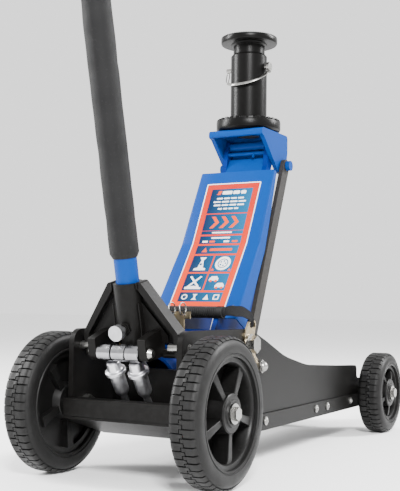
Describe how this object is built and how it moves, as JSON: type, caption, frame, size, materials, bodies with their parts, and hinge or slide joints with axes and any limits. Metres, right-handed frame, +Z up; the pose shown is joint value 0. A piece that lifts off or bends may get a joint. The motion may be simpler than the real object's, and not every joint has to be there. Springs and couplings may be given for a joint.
{
  "type": "trolley jack",
  "caption": "Low hydraulic trolley jack on wheels, with a raised lift arm, an extension post with a round saddle, and a long pump handle in a leaning yoke.",
  "frame": {"origin": "floor point under the middle of the whole jack's box, wheels on the floor", "axes": "+Z up, +Y from the pump handle towards the front wheels, +X to the right as seen from the handle"},
  "size_m": [0.3202, 1.0437, 1.3021],
  "materials": {
    "frame_black": "satin",
    "arm_blue": "gloss",
    "rod_grey": "satin",
    "post_black": "satin",
    "tyre_black": "matte",
    "rim_black": "matte",
    "zinc": "satin",
    "chrome": "polished",
    "foam": "matte",
    "webbing": "woven",
    "label_film": "printed",
    "steel": "satin"
  },
  "bodies": {
    "root": {"side_plate_right": "frame_black", "side_plate_left": "frame_black", "skid_tray": "frame_black", "rear_cross_channel": "frame_black", "tray_bolts": "zinc", "rear_axle_bolts": "zinc", "front_axle_bolts": "zinc", "arm_pivot_bolt": "zinc", "tie_rod_bolts": "zinc", "strap_bracket_right": "zinc", "strap_bracket_left": "zinc", "pump_block": "steel", "reservoir_tube": "arm_blue", "power_cylinder": "steel", "arm_return_springs": "zinc", "yoke_pivot_pins": "zinc", "cross_bar": "frame_black", "carry_handle": "foam", "carry_straps": "webbing", "ring_plate": "zinc", "wire_rings": "zinc"},
    "rear_wheel_right": {"rear_rim_right": "rim_black", "rear_tyre_right": "tyre_black"},
    "rear_wheel_left": {"rear_rim_left": "rim_black", "rear_tyre_left": "tyre_black"},
    "front_wheel_right": {"front_rim_right": "rim_black", "front_tyre_right": "tyre_black"},
    "front_wheel_left": {"front_rim_left": "rim_black", "front_tyre_left": "tyre_black"},
    "lift_arm": {"arm_plate_right": "arm_blue", "arm_plate_left": "arm_blue", "arm_cover": "arm_blue", "arm_label": "label_film", "arm_cross_pieces": "arm_blue", "cover_screws": "zinc", "arm_lever": "arm_blue"},
    "tie_rods": {"tie_rod_right": "rod_grey", "tie_rod_left": "rod_grey"},
    "bracket": {"saddle_bracket": "arm_blue", "bracket_pivot_pin": "zinc", "tie_rod_pins": "zinc"},
    "ram": {"ram_rod": "chrome", "ram_crosshead": "steel"},
    "saddle": {"lower_saddle": "post_black"},
    "post": {"extension_post": "post_black", "top_saddle": "post_black"},
    "lock_pin": {"lock_pin": "zinc"},
    "bail": {"lock_pin_bail": "zinc"},
    "yoke": {"yoke_socket": "frame_black", "yoke_side_bars": "frame_black", "yoke_webs": "frame_black", "roller_shaft": "chrome"},
    "rollers": {"pump_rollers": "chrome"},
    "clamp_screw": {"clamp_screw": "chrome"},
    "handle": {"handle_tube": "arm_blue", "foam_sleeve": "foam", "handle_grip": "foam"},
    "spindle": {"release_spindle": "steel"},
    "plungers": {"plunger_right": "chrome", "plunger_left": "chrome"}
  },
  "joints": [
    {"name": "rear_wheel_right_spin", "type": "hinge", "parent": "root", "child": "rear_wheel_right", "pos_m": [0, -0.2356, 0.1], "axis": [1, 0, 0], "continuous": true},
    {"name": "rear_wheel_left_spin", "type": "hinge", "parent": "root", "child": "rear_wheel_left", "pos_m": [0, -0.2356, 0.1], "axis": [1, 0, 0], "continuous": true},
    {"name": "front_wheel_right_spin", "type": "hinge", "parent": "root", "child": "front_wheel_right", "pos_m": [0, 0.4464, 0.0755], "axis": [1, 0, 0], "continuous": true},
    {"name": "front_wheel_left_spin", "type": "hinge", "parent": "root", "child": "front_wheel_left", "pos_m": [0, 0.4464, 0.0755], "axis": [1, 0, 0], "continuous": true},
    {"name": "lift_arm_pivot", "type": "hinge", "parent": "root", "child": "lift_arm", "pos_m": [0, -0.0706, 0.1825], "axis": [1, 0, 0], "range_deg": [-72, 0], "deforming": ["arm_return_springs"]},
    {"name": "tie_rod_pivot", "type": "hinge", "parent": "root", "child": "tie_rods", "pos_m": [0, -0.0446, 0.149], "axis": [1, 0, 0], "range_deg": [-72, 0]},
    {"name": "bracket_level", "type": "hinge", "parent": "lift_arm", "child": "bracket", "pos_m": [0, 0.11314, 0.51261], "axis": [1, 0, 0], "range_deg": [0, 72]},
    {"name": "ram_slide", "type": "slide", "parent": "root", "child": "ram", "axis": [0, 1, 0], "range_m": [-0.0707, 0]},
    {"name": "saddle_swivel", "type": "hinge", "parent": "bracket", "child": "saddle", "pos_m": [0, 0.1084, 0.543], "axis": [0, 0, 1], "continuous": true},
    {"name": "post_lift", "type": "slide", "parent": "saddle", "child": "post", "axis": [0, 0, 1], "range_m": [0, 0.06]},
    {"name": "lock_pin_slide", "type": "slide", "parent": "post", "child": "lock_pin", "axis": [1, 0, 0], "range_m": [0, 0.06]},
    {"name": "bail_swing", "type": "hinge", "parent": "lock_pin", "child": "bail", "pos_m": [0.039, 0.1084, 0.6385], "axis": [0, 0, 1], "range_deg": [0, 100]},
    {"name": "pump_hinge", "type": "hinge", "parent": "root", "child": "yoke", "pos_m": [0, -0.2449, 0.182], "axis": [1, 0, 0], "range_deg": [0, 40], "stiffness_Nm_per_rad": 26, "springref_deg": -20.05},
    {"name": "roller_spin", "type": "hinge", "parent": "yoke", "child": "rollers", "pos_m": [0, -0.27116, 0.17441], "axis": [1, 0, 0], "continuous": true},
    {"name": "clamp_screw_turn", "type": "hinge", "parent": "yoke", "child": "clamp_screw", "pos_m": [0.0019, -0.28092, 0.2022], "axis": [0.05, -0.9716, -0.2315], "range_deg": [0, 360]},
    {"name": "handle_twist", "type": "hinge", "parent": "yoke", "child": "handle", "pos_m": [0, -0.23751, 0.18376], "axis": [0, -0.2317, 0.9728], "range_deg": [0, 180]},
    {"name": "spindle_turn", "type": "hinge", "parent": "root", "child": "spindle", "pos_m": [0, -0.2056, 0.15], "axis": [0, -0.7754, 0.6314], "range_deg": [0, 180]},
    {"name": "plunger_slide", "type": "slide", "parent": "root", "child": "plungers", "axis": [0, 0.5299, -0.848], "range_m": [0, 0.0188]}
  ],
  "couplings": [
    {"joint": "tie_rod_pivot", "follows": "lift_arm_pivot", "ratio": 1},
    {"joint": "bracket_level", "follows": "lift_arm_pivot", "ratio": -1},
    {"joint": "ram_slide", "follows": "lift_arm_pivot", "m_per_rad": 0.05612},
    {"joint": "bail_swing", "follows": "lock_pin_slide", "rad_per_m": 29},
    {"joint": "spindle_turn", "follows": "handle_twist", "ratio": 1},
    {"joint": "plunger_slide", "follows": "pump_hinge", "m_per_rad": 0.0267}
  ]
}
